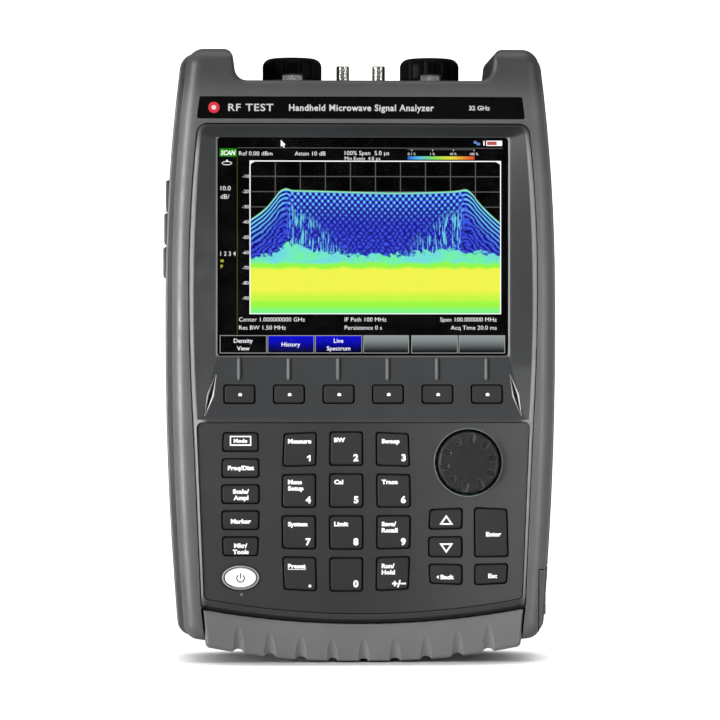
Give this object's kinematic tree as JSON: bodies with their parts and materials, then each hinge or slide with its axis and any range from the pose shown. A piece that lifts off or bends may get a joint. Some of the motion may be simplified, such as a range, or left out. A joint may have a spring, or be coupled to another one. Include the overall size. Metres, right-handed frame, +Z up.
{
  "type": "handheld spectrum analyzer",
  "caption": "Handheld spectrum analyzer: upright bowed grey case with horns at the top corners, display, softkeys, keypad, tuning knob, capped test ports and a tilting rear stand.",
  "frame": {"origin": "lowest point of the bottom bumper, midway between the sides of the case and midway between its front and rear faces", "axes": "+Z up, +X to the right seen from the front, the display and keys face -Y"},
  "size_m": [0.1905, 0.0742, 0.2925],
  "materials": {
    "housing_grey": "fine-textured soft grey moulded shell",
    "bezel_grey": "satin dark grey moulding",
    "panel_dark": "matte dark grey keypad panel",
    "key_black": "silicone rubber keys, satin",
    "power_white": "white lens in a grey rim",
    "bumper_grey": "semi-gloss grey bumper",
    "name_black": "gloss black strip",
    "window_clear": "hard-coated clear window",
    "screen": "lit liquid-crystal display",
    "foam": "black foam gasket",
    "circuit_board": "green solder mask",
    "metal_dome": "stainless snap domes",
    "cast_metal": "die-cast, bead blasted",
    "screw_steel": "dark zinc",
    "battery_black": "moulded battery shell",
    "connector_steel": "passivated stainless",
    "cap_black": "gloss black dust cap",
    "cover_rubber": "soft grey rubber cover",
    "stand_grey": "glass-filled nylon stand",
    "knob_black": "soft-touch knob"
  },
  "bodies": {
    "instrument": {"front_housing": "housing_grey", "rear_housing": "housing_grey", "display_bezel": "bezel_grey", "keypad_panel": "panel_dark", "bottom_bumper": "bumper_grey", "name_plate": "name_black", "display_window": "window_clear", "window_gasket": "foam", "lcd_module": "screen", "keypad_board": "circuit_board", "dome_switches": "metal_dome", "encoder": "cast_metal", "mid_chassis": "cast_metal", "main_board": "circuit_board", "rf_module": "cast_metal", "battery_pack": "battery_black", "connector_plate": "cast_metal", "rf_ports": "connector_steel", "sma_connectors": "connector_steel", "io_jacks": "connector_steel", "case_gasket": "foam", "case_screws": "screw_steel", "board_screws": "screw_steel"},
    "stand": {"bail_stand": "stand_grey"},
    "battery_cover": {"battery_door": "housing_grey"},
    "side_door_upper": {"side_door_upper": "cover_rubber"},
    "side_door_middle": {"side_door_middle": "cover_rubber"},
    "side_door_lower": {"side_door_lower": "cover_rubber"},
    "cap_left": {"port_cap_left": "cap_black"},
    "cap_right": {"port_cap_right": "cap_black"},
    "knob": {"tuning_knob": "knob_black"},
    "key_mode_button": {"key_mode": "key_black"},
    "key_freq_button": {"key_freq": "key_black"},
    "key_scale_button": {"key_scale": "key_black"},
    "key_marker_button": {"key_marker": "key_black"},
    "key_tools_button": {"key_tools": "key_black"},
    "power_key_button": {"power_key": "power_white"},
    "key_1_button": {"key_1": "key_black"},
    "key_2_button": {"key_2": "key_black"},
    "key_3_button": {"key_3": "key_black"},
    "key_4_button": {"key_4": "key_black"},
    "key_5_button": {"key_5": "key_black"},
    "key_6_button": {"key_6": "key_black"},
    "key_7_button": {"key_7": "key_black"},
    "key_8_button": {"key_8": "key_black"},
    "key_9_button": {"key_9": "key_black"},
    "key_0_button": {"key_0": "key_black"},
    "key_point_button": {"key_point": "key_black"},
    "key_sign_button": {"key_sign": "key_black"},
    "key_up_button": {"key_up": "key_black"},
    "key_down_button": {"key_down": "key_black"},
    "key_back_button": {"key_back": "key_black"},
    "key_enter_button": {"key_enter": "key_black"},
    "key_esc_button": {"key_esc": "key_black"},
    "softkey_1_button": {"softkey_1": "key_black"},
    "softkey_2_button": {"softkey_2": "key_black"},
    "softkey_3_button": {"softkey_3": "key_black"},
    "softkey_4_button": {"softkey_4": "key_black"},
    "softkey_5_button": {"softkey_5": "key_black"},
    "softkey_6_button": {"softkey_6": "key_black"}
  },
  "joints": [
    {"name": "stand_tilt", "type": "hinge", "parent": "instrument", "child": "stand", "pos_m": [0, 0.0333, 0.205], "axis": [1, 0, 0], "range_deg": [0, 70]},
    {"name": "battery_door_swing", "type": "hinge", "parent": "instrument", "child": "battery_cover", "pos_m": [0.0912, 0.0306, 0.028], "axis": [0, 0, 1], "range_deg": [0, 105]},
    {"name": "side_door_upper_swing", "type": "hinge", "parent": "instrument", "child": "side_door_upper", "pos_m": [-0.09384, 0.0272, 0.2238], "axis": [0, 0, -1], "range_deg": [0, 100]},
    {"name": "side_door_middle_swing", "type": "hinge", "parent": "instrument", "child": "side_door_middle", "pos_m": [-0.09458, 0.0272, 0.2078], "axis": [0, 0, -1], "range_deg": [0, 100]},
    {"name": "side_door_lower_swing", "type": "hinge", "parent": "instrument", "child": "side_door_lower", "pos_m": [-0.09505, 0.0272, 0.1914], "axis": [0, 0, -1], "range_deg": [0, 100]},
    {"name": "cap_left_lift", "type": "slide", "parent": "instrument", "child": "cap_left", "axis": [0, 0, 1], "range_m": [0, 0.025]},
    {"name": "cap_right_lift", "type": "slide", "parent": "instrument", "child": "cap_right", "axis": [0, 0, 1], "range_m": [0, 0.025]},
    {"name": "knob_turn", "type": "hinge", "parent": "instrument", "child": "knob", "pos_m": [0.05, -0.03, 0.0952], "axis": [0, 1, 0], "continuous": true},
    {"name": "key_mode_press", "type": "slide", "parent": "instrument", "child": "key_mode_button", "axis": [0, 1, 0], "range_m": [0, 0.001], "stiffness_N_per_m": 600},
    {"name": "key_freq_press", "type": "slide", "parent": "instrument", "child": "key_freq_button", "axis": [0, 1, 0], "range_m": [0, 0.001], "stiffness_N_per_m": 600},
    {"name": "key_scale_press", "type": "slide", "parent": "instrument", "child": "key_scale_button", "axis": [0, 1, 0], "range_m": [0, 0.001], "stiffness_N_per_m": 600},
    {"name": "key_marker_press", "type": "slide", "parent": "instrument", "child": "key_marker_button", "axis": [0, 1, 0], "range_m": [0, 0.001], "stiffness_N_per_m": 600},
    {"name": "key_tools_press", "type": "slide", "parent": "instrument", "child": "key_tools_button", "axis": [0, 1, 0], "range_m": [0, 0.001], "stiffness_N_per_m": 600},
    {"name": "power_key_press", "type": "slide", "parent": "instrument", "child": "power_key_button", "axis": [0, 1, 0], "range_m": [0, 0.001], "stiffness_N_per_m": 600},
    {"name": "key_1_press", "type": "slide", "parent": "instrument", "child": "key_1_button", "axis": [0, 1, 0], "range_m": [0, 0.001], "stiffness_N_per_m": 600},
    {"name": "key_2_press", "type": "slide", "parent": "instrument", "child": "key_2_button", "axis": [0, 1, 0], "range_m": [0, 0.001], "stiffness_N_per_m": 600},
    {"name": "key_3_press", "type": "slide", "parent": "instrument", "child": "key_3_button", "axis": [0, 1, 0], "range_m": [0, 0.001], "stiffness_N_per_m": 600},
    {"name": "key_4_press", "type": "slide", "parent": "instrument", "child": "key_4_button", "axis": [0, 1, 0], "range_m": [0, 0.001], "stiffness_N_per_m": 600},
    {"name": "key_5_press", "type": "slide", "parent": "instrument", "child": "key_5_button", "axis": [0, 1, 0], "range_m": [0, 0.001], "stiffness_N_per_m": 600},
    {"name": "key_6_press", "type": "slide", "parent": "instrument", "child": "key_6_button", "axis": [0, 1, 0], "range_m": [0, 0.001], "stiffness_N_per_m": 600},
    {"name": "key_7_press", "type": "slide", "parent": "instrument", "child": "key_7_button", "axis": [0, 1, 0], "range_m": [0, 0.001], "stiffness_N_per_m": 600},
    {"name": "key_8_press", "type": "slide", "parent": "instrument", "child": "key_8_button", "axis": [0, 1, 0], "range_m": [0, 0.001], "stiffness_N_per_m": 600},
    {"name": "key_9_press", "type": "slide", "parent": "instrument", "child": "key_9_button", "axis": [0, 1, 0], "range_m": [0, 0.001], "stiffness_N_per_m": 600},
    {"name": "key_0_press", "type": "slide", "parent": "instrument", "child": "key_0_button", "axis": [0, 1, 0], "range_m": [0, 0.001], "stiffness_N_per_m": 600},
    {"name": "key_point_press", "type": "slide", "parent": "instrument", "child": "key_point_button", "axis": [0, 1, 0], "range_m": [0, 0.001], "stiffness_N_per_m": 600},
    {"name": "key_sign_press", "type": "slide", "parent": "instrument", "child": "key_sign_button", "axis": [0, 1, 0], "range_m": [0, 0.001], "stiffness_N_per_m": 600},
    {"name": "key_up_press", "type": "slide", "parent": "instrument", "child": "key_up_button", "axis": [0, 1, 0], "range_m": [0, 0.001], "stiffness_N_per_m": 600},
    {"name": "key_down_press", "type": "slide", "parent": "instrument", "child": "key_down_button", "axis": [0, 1, 0], "range_m": [0, 0.001], "stiffness_N_per_m": 600},
    {"name": "key_back_press", "type": "slide", "parent": "instrument", "child": "key_back_button", "axis": [0, 1, 0], "range_m": [0, 0.001], "stiffness_N_per_m": 600},
    {"name": "key_enter_press", "type": "slide", "parent": "instrument", "child": "key_enter_button", "axis": [0, 1, 0], "range_m": [0, 0.001], "stiffness_N_per_m": 600},
    {"name": "key_esc_press", "type": "slide", "parent": "instrument", "child": "key_esc_button", "axis": [0, 1, 0], "range_m": [0, 0.001], "stiffness_N_per_m": 600},
    {"name": "softkey_1_press", "type": "slide", "parent": "instrument", "child": "softkey_1_button", "axis": [0, 1, 0], "range_m": [0, 0.0008], "stiffness_N_per_m": 600},
    {"name": "softkey_2_press", "type": "slide", "parent": "instrument", "child": "softkey_2_button", "axis": [0, 1, 0], "range_m": [0, 0.0008], "stiffness_N_per_m": 600},
    {"name": "softkey_3_press", "type": "slide", "parent": "instrument", "child": "softkey_3_button", "axis": [0, 1, 0], "range_m": [0, 0.0008], "stiffness_N_per_m": 600},
    {"name": "softkey_4_press", "type": "slide", "parent": "instrument", "child": "softkey_4_button", "axis": [0, 1, 0], "range_m": [0, 0.0008], "stiffness_N_per_m": 600},
    {"name": "softkey_5_press", "type": "slide", "parent": "instrument", "child": "softkey_5_button", "axis": [0, 1, 0], "range_m": [0, 0.0008], "stiffness_N_per_m": 600},
    {"name": "softkey_6_press", "type": "slide", "parent": "instrument", "child": "softkey_6_button", "axis": [0, 1, 0], "range_m": [0, 0.0008], "stiffness_N_per_m": 600}
  ]
}
